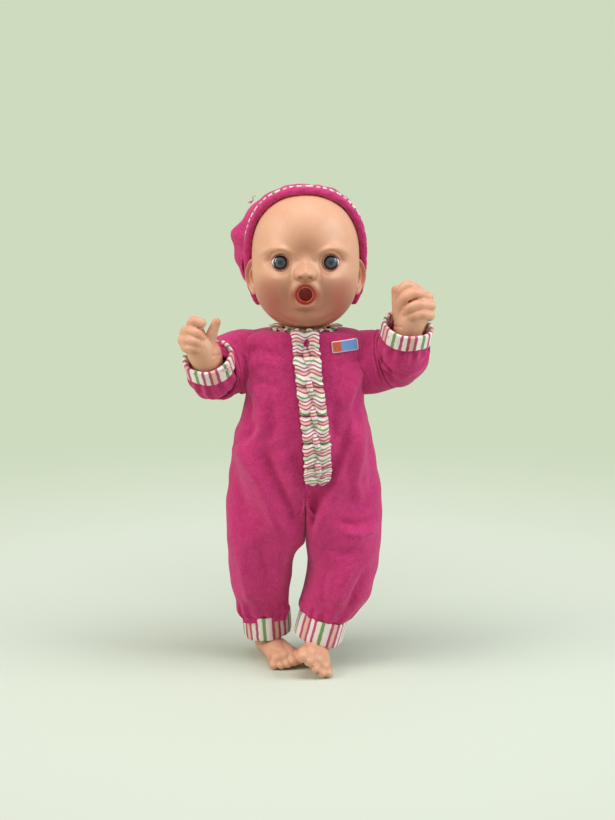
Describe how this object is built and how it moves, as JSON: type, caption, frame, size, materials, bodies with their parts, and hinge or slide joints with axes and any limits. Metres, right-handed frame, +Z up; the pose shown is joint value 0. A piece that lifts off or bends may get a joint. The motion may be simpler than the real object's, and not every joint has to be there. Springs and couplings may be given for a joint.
{
  "type": "interactive baby doll",
  "caption": "Baby doll with a sound unit in its body, swivelling head, arms and legs, a mouth that takes a teat, and a knitted romper and cap.",
  "frame": {"origin": "on the floor under the neck axis, at the centre of the doll's footprint box", "axes": "+Z up, -Y the way the doll faces, +X the doll's own left"},
  "size_m": [0.2029, 0.1094, 0.3995],
  "materials": {
    "skin": "semi-gloss vinyl",
    "body_plastic": "satin moulded",
    "white_plastic": "satin moulded",
    "dark_plastic": "satin moulded",
    "button_plastic": "satin moulded",
    "mouth_plastic": "satin",
    "eye": "polished",
    "circuit": "lacquered laminate",
    "cell": "printed sleeve on steel",
    "steel": "nickel plated",
    "fleece": "brushed fleece",
    "striped_cotton": "striped jersey",
    "patch": "felt"
  },
  "bodies": {
    "torso": {"torso_front_shell": "body_plastic", "torso_back_shell": "body_plastic", "torso_screws": "steel", "neck_post": "white_plastic", "battery_tray": "dark_plastic", "battery_cells": "cell", "battery_contacts": "steel", "battery_door": "body_plastic", "door_screw": "steel", "circuit_board": "circuit", "sound_chip": "dark_plastic", "loudspeaker": "dark_plastic", "speaker_clip": "white_plastic", "tummy_switch": "dark_plastic", "button_spring": "steel", "power_switch_body": "dark_plastic", "romper_body": "fleece", "collar_ruffle": "striped_cotton", "placket_ruffle": "striped_cotton", "back_placket": "fleece", "back_snaps": "white_plastic", "chest_patch": "patch"},
    "head": {"head_shell": "skin", "left_eye": "eye", "right_eye": "eye", "mouth_cup": "mouth_plastic", "mouth_switch": "dark_plastic", "hat_crown": "fleece", "hat_brim": "fleece", "hat_piping": "striped_cotton", "hat_bow": "striped_cotton"},
    "left_arm": {"left_shoulder_hub": "white_plastic", "left_arm": "skin", "left_sleeve": "fleece", "left_wrist_cuff": "striped_cotton"},
    "right_arm": {"right_shoulder_hub": "white_plastic", "right_arm": "skin", "right_sleeve": "fleece", "right_wrist_cuff": "striped_cotton"},
    "left_leg": {"left_hip_hub": "white_plastic", "left_leg": "skin", "left_trouser_leg": "fleece", "left_ankle_cuff": "striped_cotton"},
    "right_leg": {"right_hip_hub": "white_plastic", "right_leg": "skin", "right_trouser_leg": "fleece", "right_ankle_cuff": "striped_cotton"},
    "button": {"tummy_button": "button_plastic"},
    "mouth_plunger": {"mouth_plunger": "mouth_plastic"},
    "power_switch": {"power_switch_knob": "button_plastic"}
  },
  "joints": [
    {"name": "neck_turn", "type": "hinge", "parent": "torso", "child": "head", "pos_m": [0, 0, 0.282], "axis": [0, 0, 1], "range_deg": [-60, 60]},
    {"name": "left_shoulder", "type": "hinge", "parent": "torso", "child": "left_arm", "pos_m": [0.036, 0, 0.257], "axis": [1, 0, 0], "range_deg": [-45, 90]},
    {"name": "right_shoulder", "type": "hinge", "parent": "torso", "child": "right_arm", "pos_m": [-0.036, 0, 0.257], "axis": [1, 0, 0], "range_deg": [-45, 90]},
    {"name": "left_hip", "type": "hinge", "parent": "torso", "child": "left_leg", "pos_m": [0.0165, 0, 0.15], "axis": [1, 0, 0], "range_deg": [-80, 20]},
    {"name": "right_hip", "type": "hinge", "parent": "torso", "child": "right_leg", "pos_m": [-0.0165, 0, 0.15], "axis": [1, 0, 0], "range_deg": [-80, 20]},
    {"name": "tummy_press", "type": "slide", "parent": "torso", "child": "button", "axis": [0, 1, 0], "range_m": [0, 0.002], "stiffness_N_per_m": 900, "springref_m": -0.001, "deforming": ["button_spring"]},
    {"name": "mouth_press", "type": "slide", "parent": "head", "child": "mouth_plunger", "axis": [0, 1, 0], "range_m": [0, 0.002], "stiffness_N_per_m": 300, "springref_m": -0.0006},
    {"name": "power_slide", "type": "slide", "parent": "torso", "child": "power_switch", "axis": [1, 0, 0], "range_m": [-0.002, 0.002]}
  ]
}
